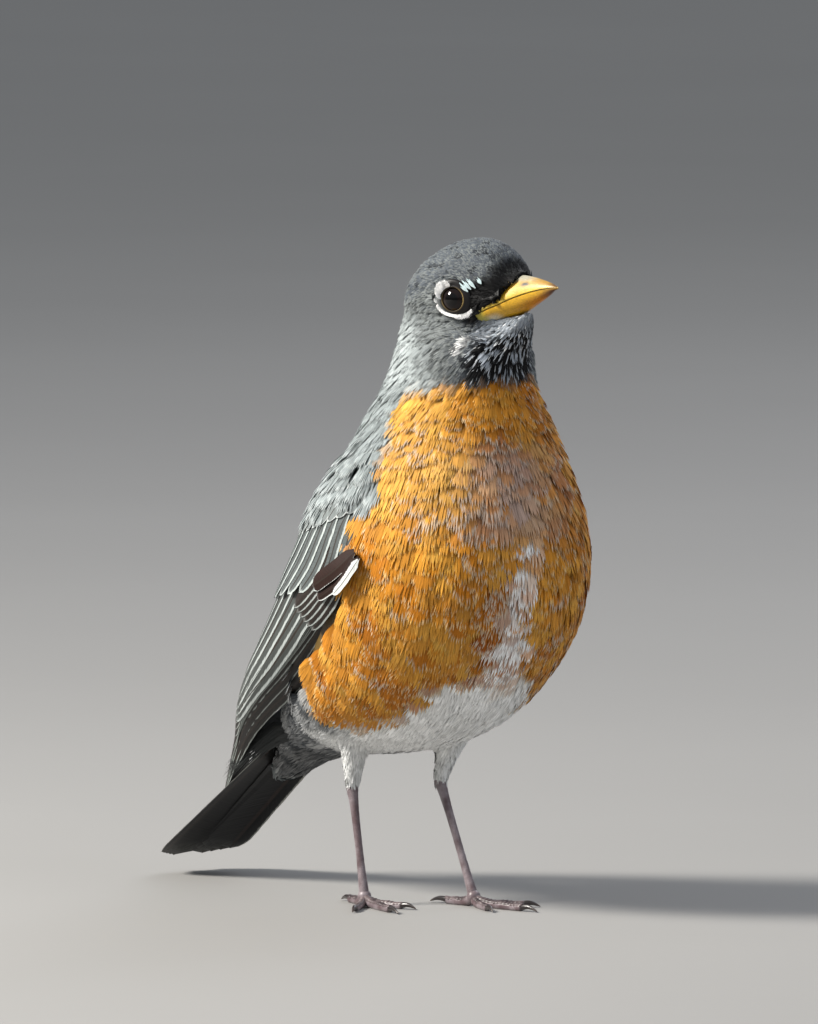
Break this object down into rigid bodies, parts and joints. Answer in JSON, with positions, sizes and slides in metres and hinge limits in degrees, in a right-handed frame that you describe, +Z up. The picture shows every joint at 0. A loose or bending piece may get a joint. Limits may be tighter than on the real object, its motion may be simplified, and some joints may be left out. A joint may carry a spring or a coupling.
{
  "type": "american robin model",
  "caption": "Still, life-size model of an American robin standing upright with folded wings, its head turned a little to its left and its tail slanting down behind.",
  "frame": {"origin": "middle of the underside of the bounding box, on the ground that the soles of the feet stand on", "axes": "+Z up; the bird faces -Y and its left side is +X"},
  "size_m": [0.0778, 0.1708, 0.1812],
  "materials": {
    "plumage_crown": "matte",
    "plumage_breast": "matte",
    "plumage_back": "matte",
    "plumage_quill": "matte",
    "plumage_belly": "matte",
    "bill_horn": "satin",
    "leg_scale": "satin",
    "claw_horn": "satin",
    "eye": "gloss"
  },
  "bodies": {
    "root": {"head": "plumage_crown", "neck": "plumage_crown", "trunk": "plumage_breast", "bill_upper": "bill_horn", "bill_lower": "bill_horn", "eye_left": "eye", "wing_left": "plumage_back", "secondaries_left": "plumage_quill", "primaries_left": "plumage_quill", "thigh_left": "plumage_belly", "tarsus_left": "leg_scale", "foot_left": "leg_scale", "claw_left_inner": "claw_horn", "claw_left_middle": "claw_horn", "claw_left_outer": "claw_horn", "claw_left_hind": "claw_horn", "eye_right": "eye", "wing_right": "plumage_back", "secondaries_right": "plumage_quill", "primaries_right": "plumage_quill", "thigh_right": "plumage_belly", "tarsus_right": "leg_scale", "foot_right": "leg_scale", "claw_right_inner": "claw_horn", "claw_right_middle": "claw_horn", "claw_right_outer": "claw_horn", "claw_right_hind": "claw_horn", "tail": "plumage_quill"}
  },
  "joints": []
}
